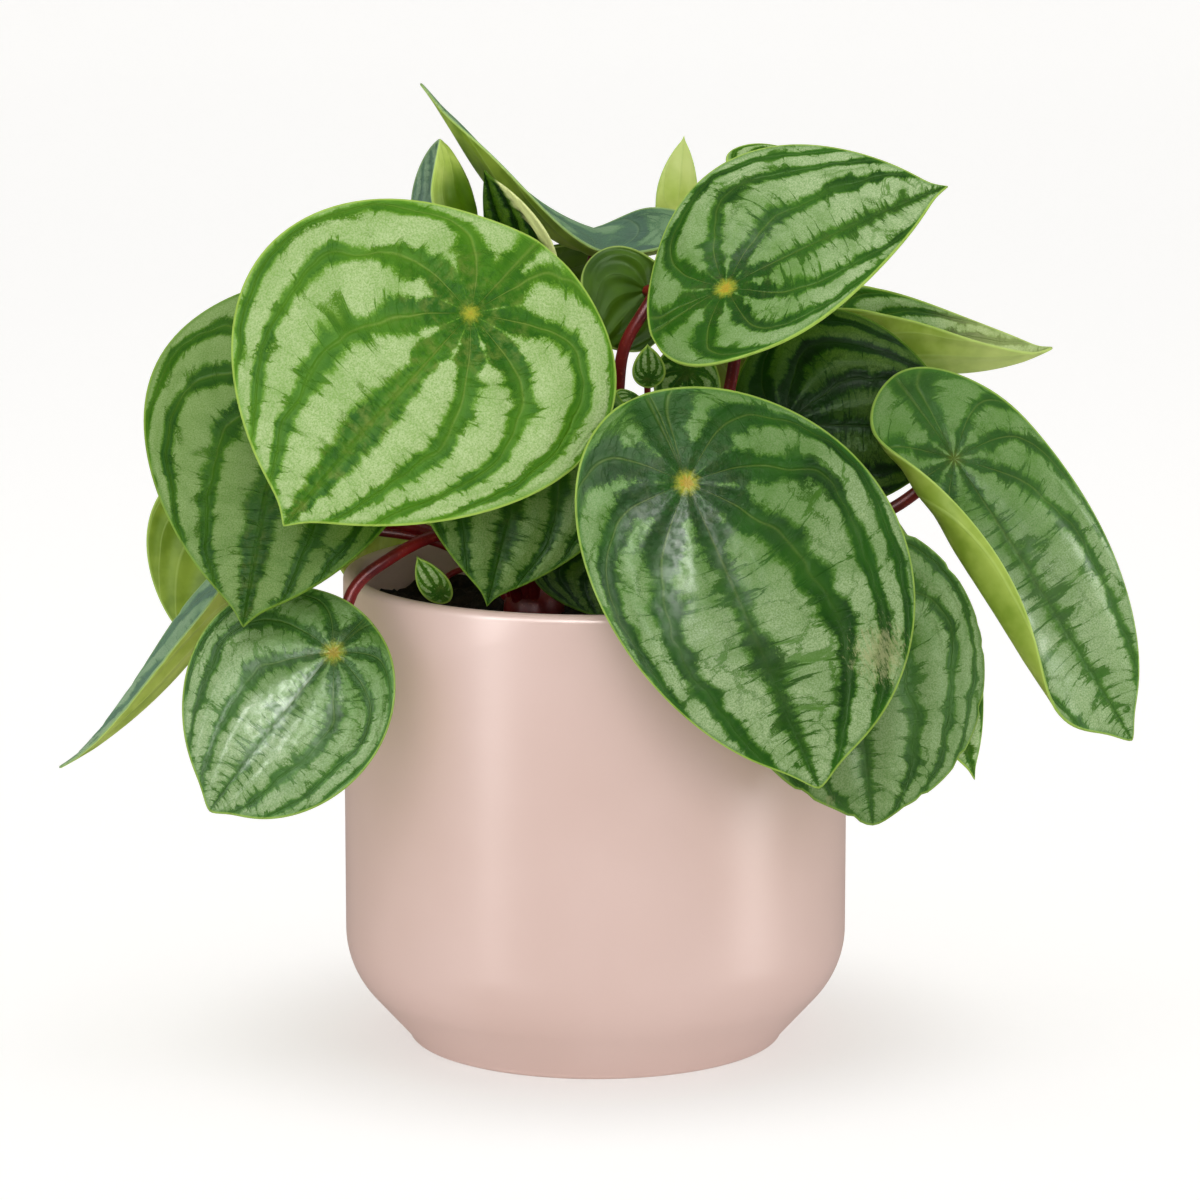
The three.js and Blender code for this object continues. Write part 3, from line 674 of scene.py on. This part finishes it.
# %% Colour the stripes
def striped_skin(paint, at, silver):
    age, near_navel = at.age, at.near_navel
    cloud, speckle = at.slow.step(0.3, 0.7), at.grain.step(0.3, 0.7)
    dark = paint.mix(age, paint.mix(cloud, (36, 90, 0), (62, 116, 6)),
                     paint.mix(cloud, (12, 52, 2), (32, 84, 8)))
    fresh = paint.mix(age, (98, 146, 34), (78, 124, 40))
    light = paint.mix(age, paint.mix(speckle, (136, 172, 92), (182, 202, 146)),
                      paint.mix(speckle, (124, 156, 98), (174, 194, 150)))
    middle = at.from_vein.step(0.16, 0.0) * (0.25 + 0.75 * at.tongues) * near_navel.step(0.1, 0.3)
    dark = paint.mix(middle * (0.75 - 0.35 * age) * (at.fine + 0.3), dark, fresh)
    blotch = paint.noise(at.place, 0.32, 4.0, 0.65)
    mottled = at.navel_zone.high(at.midrib * (0.9 - 0.6 * age)) * (1 - silver)
    return paint.coats(
        dark,
        ((silver * 2.2).low(1.0), fresh),
        ((silver * 1.7 - 0.7).high(0.0), light),
        (mottled * blotch.step(0.45, 0.7) * 0.7, paint.mix(age, (112, 132, 50), (40, 70, 22))),
        (mottled * blotch.step(0.48, 0.3) * 0.7, (34, 82, 18)),
    )


print("silver of an old blade, linear:", [round(c, 2) for c in colour(174, 194, 150)[:3]])

# %% [markdown]
# Over the stalk sits a yellow-green spot with a browner heart, and light rays run out from it along the
# veins. A green seam and a thin light line mark the margin. The rest is one leaf's own: corky scars, an even
# green veil over the pattern, painted shade that deepens the green where other leaves shadow the blade, a
# painted grey-blue sheen for the reflection on faces seen edge-on, and pale places.

# %% Add the spot, the margin and the marks
# Painted shade: a blade in the full shadow of other leaves has its colour multiplied by this.
PAINTED_SHADE_TINT = (0.16, 0.28, 0.0, 1.0)
PALE_EDGE = (224, 232, 158)


def marked_skin(paint, at, skin):
    age, near_navel, fine = at.age, at.near_navel, at.fine
    ray = at.from_vein.step(0.035, 0.0) * near_navel.step(0.7, 0.05) * (0.55 - 0.25 * age) * (0.3 + fine)
    margin, brown = paint.number("from_margin"), paint.number("brown")
    lengthwise = paint.together(at.across * at.size * 1.6, at.along * at.size * 0.3, at.seed)
    streaks = paint.noise(lengthwise, 1.0, 3.0, 0.7)
    scarred = (brown + (streaks - 0.5) * 1.8 + (fine - 0.5) * 0.6).step(0.5, 0.95) * brown.step(0.02, 0.2)
    skin = paint.coats(
        skin,
        (ray * near_navel.step(0.02, 0.1), (140, 164, 72)),
        (at.spot, (176, 182, 54)),
        (at.spot_heart, (206, 158, 50)),
        (margin.step(2.2, 0.6) * (0.3 + 0.4 * at.teeth), paint.mix(age, (96, 152, 26), (44, 108, 18))),
        (margin.step(0.8, 0.35) * 0.85, (166, 198, 84)),
        (scarred * 0.7, (176, 178, 130)),
        (paint.number("soft") * (0.4 + 1.2 * at.slow), paint.mix(at.grain, (64, 106, 46), (98, 138, 80))),
    )
    # Painted shade darkens the green where other leaves shadow the blade.
    skin = paint.mix(paint.number("deep"), skin, PAINTED_SHADE_TINT, blend="MULTIPLY")
    # Painted reflection: a grey-blue sheen on faces seen edge-on; then the pale places.
    return paint.coats(skin, (paint.number("bloom"), (128, 156, 146)), (paint.number("pale"), PALE_EDGE))


print("full shade leaves this much of red, green and blue:", PAINTED_SHADE_TINT[:3])

# %% [markdown]
# The upper skin is finely wrinkled and hardly shines, but for a few places that look wet. A glossy skin would
# look like plastic all over, so a clear coat lies only on the patches that the mesh keeps, and the wrinkles
# break it up.

# %% Paint the upper face
def upper_face():
    paint = Paint("striped upper face")
    at = UpperPlace(paint)
    silver, crack = silver_and_cracks(paint, at)
    skin = marked_skin(paint, at, striped_skin(paint, at, silver))
    wrinkle = paint.noise(at.by_vein(3.0, 3.0), 2.2, 3.0)
    height = wrinkle * 0.6 + at.grain * 0.08 - crack * 0.25 - at.from_vein.step(0.05, 0.0) * 0.4
    bump = paint.node("Bump", {}, {"Strength": 0.6, "Distance": 0.001, "Height": height})
    wet = at.age * 0.03 + paint.number("shine") * (0.4 + 1.2 * wrinkle.step(0.35, 0.65))
    return paint.finish({
        "Base Color": skin, "Roughness": 0.46 - 0.1 * at.age, "Normal": bump, "Specular IOR Level": 0.08,
        "Coat Weight": wet, "Coat Roughness": 0.22,
    })


UPPER_FACE = upper_face()
print("nodes of the upper face:", len(UPPER_FACE.node_tree.nodes))

# %% [markdown]
# The lower face has no stripes. It is a matt, light yellow-green, and the veins stand out on it as paler
# lines that are only just seen.

# %% Paint the lower face
def lower_face():
    paint = Paint("pale lower face")
    at = LeafPlace(paint, seed_step=1.0)
    vein = at.number.to_nearest().low(at.from_back).step(0.07, 0.02)
    cloud = paint.noise(at.place, 0.12, 3.0)
    patch, deep = cloud.step(0.3, 0.7), paint.number("deep")
    young = paint.mix(patch, (182, 208, 88), (208, 226, 124))
    old = paint.mix(patch, (112, 142, 34), (146, 172, 58))
    # Painted shade darkens the green of the lower face too.
    skin = paint.mix(deep, paint.mix(at.age, young, old), PAINTED_SHADE_TINT, blend="MULTIPLY")
    skin = paint.coats(
        skin,
        (paint.number("pale"), PALE_EDGE),
        (vein * (1 - deep) * 0.25, (190, 214, 120)),
        (paint.number("from_margin").step(0.8, 0.3) * 0.6, (186, 214, 110)),
        (paint.number("brown").step(0.35, 0.7) * 0.85, (92, 62, 34)),
    )
    bump = paint.node("Bump", {}, {"Strength": 0.3, "Distance": 0.0006, "Height": vein * 0.5 + cloud * 0.3})
    return paint.finish({"Base Color": skin, "Roughness": 0.46, "Normal": bump, "Specular IOR Level": 0.15})


LOWER_FACE = lower_face()
print("nodes of the lower face:", len(LOWER_FACE.node_tree.nodes))

# %% [markdown]
# Now the blades are made, and each stands in for its solid. Every piece, the pot's too, also joins one
# collection, so that a lamp can be told later to light the plant with its pot and nothing else.

# %% Hang the blades
plant_pieces = bpy.data.collections.new("plant pieces")


def stand_for(name, mesh, materials, node):
    piece = bpy.data.objects.new(name, mesh)
    for material in materials:
        mesh.materials.append(material)
    bpy.context.scene.collection.objects.link(piece)
    plant_pieces.objects.link(piece)
    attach(piece, "root")
    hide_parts(node)


all_blades = [blade for _, blades in plants.values() for blade in blades]
for seed, blade in enumerate(all_blades, 1):
    mesh = blade_mesh(blade, float(seed))
    stand_for("skin_" + blade.name, mesh, [UPPER_FACE, LOWER_FACE], blade.name)
print(len(all_blades), "blades,", len(mesh.vertices), "points each")

# %% [markdown]
# A stalk is a round, juicy rod, a little stouter at its foot. A curve with a bevel could draw one, but all
# stalks of a crown are one piece with it, so each is made as rings of points along a line. The line is a
# smooth curve through a few points where the plant shows it, or else one pulled by two points.

# %% Draw the stalks' lines
STALK_SIDES = 14
STALK_STEPS = 44


def through(points, shares):
    """A smooth line through the points (a centripetal spline)."""
    last, places = len(points) - 1, []
    for share in shares:
        position = share * last
        i = min(int(position), last - 1)
        t = position - i
        p1, p2 = points[i], points[i + 1]
        p0 = points[i - 1] if i > 0 else 2 * p1 - p2
        p3 = points[i + 2] if i + 2 <= last else 2 * p2 - p1
        d0, d1, d2 = [max(np.linalg.norm(b - a) ** 0.5, 1e-4) for a, b in ((p0, p1), (p1, p2), (p2, p3))]
        t1 = ((p1 - p0) / d0 - (p2 - p0) / (d0 + d1) + (p2 - p1) / d1) * d1
        t2 = ((p2 - p1) / d1 - (p3 - p1) / (d1 + d2) + (p3 - p2) / d2) * d1
        c2, c3 = -3 * p1 + 3 * p2 - 2 * t1 - t2, 2 * p1 - 2 * p2 + t1 + t2
        places.append(p1 + t1 * t + c2 * t**2 + c3 * t**3)
    return np.array(places)


def pulled(points, shares):
    """A line from the first point to the last, pulled by the two between (a cubic Bezier)."""
    t = shares[:, None]
    a, b, c, d = points
    return a * (1 - t) ** 3 + 3 * b * t * (1 - t) ** 2 + 3 * c * t**2 * (1 - t) + d * t**3


def rod(line, radii, sides):
    """Rings of points round a line, and the faces between them, with both ends closed."""
    ways = np.gradient(line, axis=0)
    ways /= np.linalg.norm(ways, axis=1)[:, None]
    across = unit(np.cross(ways[0], [0.3, 0.9, 0.1]))
    points, angles = [], np.arange(sides) * 2 * np.pi / sides
    for place, way, radius in zip(line, ways, radii):
        across = unit(across - way * across.dot(way))
        other = np.cross(way, across)
        points += [place + radius * (across * math.cos(a) + other * math.sin(a)) for a in angles]
    cell, rows, turn = lambda i, k: i * sides + k % sides, range(len(line) - 1), range(sides)
    faces = [(cell(i, k), cell(i, k + 1), cell(i + 1, k + 1), cell(i + 1, k)) for i in rows for k in turn]
    ends = [tuple(reversed(turn)), tuple(cell(len(rows), k) for k in turn)]
    return np.array(points), faces + ends


print("a stalk has", STALK_STEPS, "rings of", STALK_SIDES, "points")

# %% [markdown]
# The paint of the stalks is a deep wine red that turns a little browner in slow clouds and holds fine pale
# freckles. It is smooth, so it takes a soft highlight along its length.

# %% Paint and place the stalks
def stalk_skin():
    paint = Paint("wine red stalk")
    place = paint.node("NewGeometry", {}, {}, "Position")
    cloud = paint.noise(place, 90.0, 3.0)
    freckle = paint.noise(place, 1400.0, 1.0).step(0.62, 0.72)
    skin = paint.mix(cloud.step(0.3, 0.7), (84, 10, 16), (128, 22, 24))
    skin = paint.mix(freckle * 0.35, skin, (176, 84, 60))
    return paint.finish({"Base Color": skin, "Roughness": 0.36, "Specular IOR Level": 0.35})


STALK_SKIN = stalk_skin()

CROWN_RADIUS = 8.5
CROWN_HEIGHTS = np.array([104, 107, 122, 125, 127.5, 129.2, CROWN_TOP])
CROWN_SHARES = np.array([0.8, 1.0, 1.0, 0.96, 0.8, 0.5, 0.1])  # of its radius, at those heights
CROWN_SIDES = 28
STALK_FLARE, FLARE_REACH = 0.12, 0.06  # how much stouter a stalk is at its foot, and over which share of it


def crown_rod(crown):
    line = np.stack([np.full(len(CROWN_HEIGHTS), c) for c in crown[:2]] + [CROWN_HEIGHTS], 1)
    return rod(line, CROWN_SHARES * CROWN_RADIUS, CROWN_SIDES)


shares = np.linspace(0, 1, STALK_STEPS)
stout = 1 + STALK_FLARE * np.exp(-shares / FLARE_REACH)
for name, (crown, blades) in plants.items():
    parts = [crown_rod(crown)]
    for blade in blades:
        steer = blade.stalk_points(crown)
        line = through(steer, shares) if blade.via else pulled(steer, shares)
        parts.append(rod(line, blade.stalkWidth / 2 * stout, STALK_SIDES))
    points, faces = [], []
    for part_points, part_faces in parts:
        start = sum(map(len, points))
        points.append(part_points)
        faces += [tuple(start + i for i in face) for face in part_faces]
    mesh = mesh_of("stems_" + name, np.concatenate(points), faces)
    stand_for("skin_stems_" + name, mesh, [STALK_SKIN], "stems_" + name)
    print("stalks of", name, len(blades), "faces", len(faces))

# %% [markdown]
# The pot was cast in a mould: a straight cylinder, a soft shoulder low down, and a bevel to a smaller foot.
# Turning its outline about the axis is all it needs. A Screw modifier could do that, but one short function
# also serves the soil and the paper. The solid has flat facets, so a finer turn stands for it. The outline is
# closed by the inner wall, which the soil hides.

# %% Turn the pot
POT_RADIUS, POT_HEIGHT, POT_WALL, POT_FLOOR = 70, 132, 4.6, 7
BORE = POT_RADIUS - POT_WALL
FOOT_ROUND = 1.5
SHOULDER_HEIGHT, SHOULDER_ROUND = 31, 26
FLANK_ANGLE = 48
LIP_ROUND = 2
POT_SIDES = 160


def arc(x, z, radius, start, end, steps):
    angles = np.radians(np.linspace(start, end, steps + 1))
    return [(x + radius * math.cos(a), z + radius * math.sin(a)) for a in angles]


def wall_line(inset, steps):
    """The flank, as a function of the height, and the shoulder above it, that far inside the pot's skin."""
    shoulder = arc(POT_RADIUS - SHOULDER_ROUND, SHOULDER_HEIGHT, SHOULDER_ROUND - inset,
                   FLANK_ANGLE - 90, 0, steps)
    slope = math.tan(math.radians(FLANK_ANGLE))
    flank = lambda z: (shoulder[0][0] - (shoulder[0][1] - z) / slope, z)
    return flank, shoulder


def turned(name, outline, sides, closed=True):
    """A mesh turned about the Z axis from (radius, height) points that start, and may end, on the axis."""
    angles = np.arange(sides) * 2 * np.pi / sides
    rings = outline[1:-1] if closed else outline[1:]
    points = [(0, 0, outline[0][1]), (0, 0, outline[-1][1])]
    points += [(r * math.cos(a), r * math.sin(a), z) for r, z in rings for a in angles]
    cell = lambda i, k: 2 + i * sides + k % sides
    faces = [(0, cell(0, k + 1), cell(0, k)) for k in range(sides)]
    for i in range(len(rings) - 1):
        faces += [(cell(i, k), cell(i, k + 1), cell(i + 1, k + 1), cell(i + 1, k)) for k in range(sides)]
    if closed:
        faces += [(1, cell(len(rings) - 1, k), cell(len(rings) - 1, k + 1)) for k in range(sides)]
    return mesh_of(name, points, faces)


flank, shoulder = wall_line(0, 16)
inner_flank, inner_shoulder = wall_line(POT_WALL, 8)
foot_edge = flank(FOOT_ROUND)
foot_arc = arc(foot_edge[0] - FOOT_ROUND, FOOT_ROUND, FOOT_ROUND, -90, -8, 6)
straight = [(POT_RADIUS, z) for z in np.linspace(SHOULDER_HEIGHT, POT_HEIGHT - LIP_ROUND, 14)[1:-1]]
pot_outline = [
    (0, 0), *foot_arc, foot_edge, *shoulder, *straight,
    *arc(POT_RADIUS - LIP_ROUND, POT_HEIGHT - LIP_ROUND, LIP_ROUND, 0, 90, 8),
    *arc(BORE + LIP_ROUND, POT_HEIGHT - LIP_ROUND, LIP_ROUND, 90, 180, 8),
    *inner_shoulder[::-1], inner_flank(POT_FLOOR), (0, POT_FLOOR),
]
pot_mesh = turned("pot", pot_outline, POT_SIDES)
print("pot outline points:", len(pot_outline))

# %% [markdown]
# The glaze is satin: it blurs a lamp into a broad soft band. The pink is pale and even, with the faintest
# cloudiness, and very fine grain breaks the shine so that it doesn't look like plastic.

# %% Glaze the pot
def satin_glaze():
    paint = Paint("satin pink glaze")
    place = paint.node("NewGeometry", {}, {}, "Position")
    cloud = paint.noise(place, 14.0, 3.0)
    glaze = paint.mix(cloud.step(0.3, 0.7), (217, 187, 177), (222, 193, 184))
    grain = paint.noise(place, 900.0, 2.0)
    bump = paint.node("Bump", {}, {"Strength": 0.05, "Distance": 0.0003, "Height": grain})
    return paint.finish({"Base Color": glaze, "Roughness": 0.34 + 0.05 * cloud, "Normal": bump,
                         "Specular IOR Level": 0.65})


stand_for("glazed_pot", pot_mesh, [satin_glaze()], "pot")
print("glazed faces:", len(pot_mesh.polygons))

# %% [markdown]
# Potting soil is dark peat with crumbs of bark. It lies a little below the rim. Loose crumbs could be strewn
# on it, but so little of it shows that relief is enough: a disc of fine rings is lifted by the same low
# swells as the solid, and then by small sharp crumbs and finer grit.

# %% Fill the pot with soil
SOIL_TOP = 120
SOIL_RELIEF, CRUMB_RELIEF, GRIT_RELIEF = 1.6, 0.7, 0.35
SOIL_RINGS = 46
SOIL_SPOKES = 150


def crumbly(x, y):
    low = np.sin(x * 0.31 + 1.2) * np.cos(y * 0.27) + 0.6 * np.sin(x * 0.83) * np.sin(y * 0.71 + 0.5)
    crumbs = np.sin(x * 2.3 + 2 * np.sin(y * 1.1)) * np.sin(y * 2.1 + 2 * np.sin(x * 0.9))
    grit = np.sin(x * 4.9 + 3 * np.sin(y * 2.7)) * np.sin(y * 5.3 + 2 * np.sin(x * 3.1))
    return SOIL_RELIEF * low + CRUMB_RELIEF * crumbs + GRIT_RELIEF * grit


soil_edge = BORE - SEAT_GAP
soil_flank, soil_shoulder = wall_line(POT_WALL + SEAT_GAP, 6)
radii = np.linspace(soil_edge, 0, SOIL_RINGS, endpoint=False)
soil_outline = [
    (0, POT_FLOOR + SEAT_GAP), soil_flank(POT_FLOOR + SEAT_GAP), *soil_shoulder,
    *[(r, SOIL_TOP) for r in radii], (0, SOIL_TOP),
]
soil_mesh = turned("soil", soil_outline, SOIL_SPOKES)
for vertex in soil_mesh.vertices:
    x, y, z = (c / MM for c in vertex.co)
    if z > SOIL_TOP - 1:
        vertex.co.z = (SOIL_TOP + float(crumbly(x, y))) * MM


def dark_soil():
    paint = Paint("moist potting soil")
    place = paint.node("NewGeometry", {}, {}, "Position")
    cloud = paint.noise(place, 420.0, 4.0, 0.65)
    earth = paint.mix(cloud.step(0.35, 0.7), (12, 9, 6), (46, 34, 24))
    bump = paint.node("Bump", {}, {"Strength": 0.8, "Distance": 0.001, "Height": cloud})
    return paint.finish({"Base Color": earth, "Roughness": 0.92, "Normal": bump, "Specular IOR Level": 0.2})


stand_for("crumbly_soil", soil_mesh, [dark_soil()], "soil")
print("soil points:", len(soil_mesh.vertices))

# %% [markdown]
# A product photograph of such a pot is taken on a white sweep: paper that lies flat under the pot and curves
# up round it, so that no horizon shows from any side. It would take so much lamp light to look white that the
# pale shadow would be lost. So the paper glows by itself, less round the foot, where the pot shades it. The
# glaze doesn't mirror it.

# %% Lay the white sweep
PAPER_GLOW = 0.8
FOOT_GLOW = (0.58, 0.565, 0.55, 1)
NEAR_GLOW = (0.79, 0.782, 0.77, 1)
FAR_GLOW = (0.85, 0.843, 0.83, 1)
SWEEP_FLAT, SWEEP_BEND, SWEEP_TOP, SWEEP_SIDES = 3200, 1500, 3600, 90


def white_paper():
    paint = Paint("white paper")
    x, y, z = paint.apart(paint.node("NewGeometry", {}, {}, "Position"))
    from_axis = (x * x + y * y) ** 0.5
    glow = paint.mix(from_axis.step(0.045, 0.13), FOOT_GLOW, NEAR_GLOW)
    return paint.finish({"Base Color": (0.5, 0.498, 0.494, 1), "Roughness": 0.9, "Specular IOR Level": 0.0,
                         "Emission Color": paint.mix(from_axis.step(0.6, 2.5), glow, FAR_GLOW),
                         "Emission Strength": PAPER_GLOW})


sweep_outline = [
    (0, 0), (60, 0), (200, 0), (600, 0), (1800, 0),
    *arc(SWEEP_FLAT, SWEEP_BEND, SWEEP_BEND, -90, 0, 12), (SWEEP_FLAT + SWEEP_BEND, SWEEP_TOP),
]
sweep_mesh = turned("sweep", sweep_outline, SWEEP_SIDES, closed=False)
sweep_mesh.materials.append(white_paper())
sweep = bpy.data.objects.new("sweep", sweep_mesh)
bpy.context.scene.collection.objects.link(sweep)
sweep.visible_glossy = False
print("the sweep stands", SWEEP_FLAT + SWEEP_BEND, "mm off the pot on all sides")

# %% [markdown]
# A wide soft lamp high in front gives the light and the shade. It is linked to the plant and its pot alone,
# so it throws no broad shadow on the paper. A panel overhead lights everything and lays the faint shadow
# round the foot. Three lamps only shine: a window in front, which makes leaves look wet, and two tall ones at
# the sides, which draw the soft bright bands on the glaze.

# %% Set the lamps
MIDDLE = np.array([0, 0, 0.14])  # of the object, in metres, as is the next
LAMP_DISTANCE = 1.5


def lamp(name, azimuth, elevation, power, width=None, height=None, spread=None, only_shine=False):
    """A lamp in that direction from the plant: a panel, or a sun of that width in degrees."""
    data = bpy.data.lights.new(name, "SUN" if spread else "AREA")
    data.energy = power
    if spread:
        data.angle = math.radians(spread)
    else:
        data.shape, data.size, data.size_y = "RECTANGLE", width, height
    light = bpy.data.objects.new(name, data)
    light.location = Vector(MIDDLE + pointing(azimuth, elevation) * LAMP_DISTANCE)
    light.rotation_euler = Vector(pointing(azimuth, elevation)).to_track_quat("Z", "Y").to_euler()
    light.visible_camera = False
    light.visible_diffuse = not only_shine
    bpy.context.scene.collection.objects.link(light)
    return light


key = lamp("soft_key", -8, 30, 1.7, spread=50)
key.light_linking.receiver_collection = plant_pieces
lamp("soft_top", 0, 88, 15, 2.0, 2.0)
lamp("window", -8, 26, 16.0, 0.9, 0.5, only_shine=True)
lamp("band_left", -46, 8, 26.0, 0.26, 1.4, only_shine=True)
lamp("band_right", 74, 8, 14.0, 0.4, 1.4, only_shine=True)

world = bpy.data.worlds.new("studio air")
world.use_nodes = True
air = world.node_tree.nodes["Background"].inputs
air["Color"].default_value, air["Strength"].default_value = (1.0, 0.995, 0.985, 1), 0.12
bpy.context.scene.world = world
bpy.context.scene.view_settings.view_transform = "Standard"

# %% [markdown]
# The camera stands 1.5 m off with a long lens, as a product photographer's does, and looks down a little: the
# ellipses of the rim and the foot tell by how much.

# %% Set the camera
CAMERA_DISTANCE = 1500
CAMERA_DOWN = 10.7
CAMERA_AIM = (1.25, 0, 123.3)
down = math.radians(CAMERA_DOWN)
lens = bpy.data.cameras.new("camera")
lens.lens, lens.sensor_width = 162, 36  # in mm, a long lens
camera = bpy.data.objects.new("camera", lens)
back_off = Vector((0, -math.cos(down), math.sin(down))) * CAMERA_DISTANCE * MM
camera.location = Vector(CAMERA_AIM) * MM + back_off
camera.rotation_euler = (math.pi / 2 - down, 0, 0)
bpy.context.scene.collection.objects.link(camera)
bpy.context.scene.camera = camera
print("camera at, mm:", [round(c / MM) for c in camera.location])

# %% [markdown]
# The finer skins have to fill the same box as the solids they stand for.
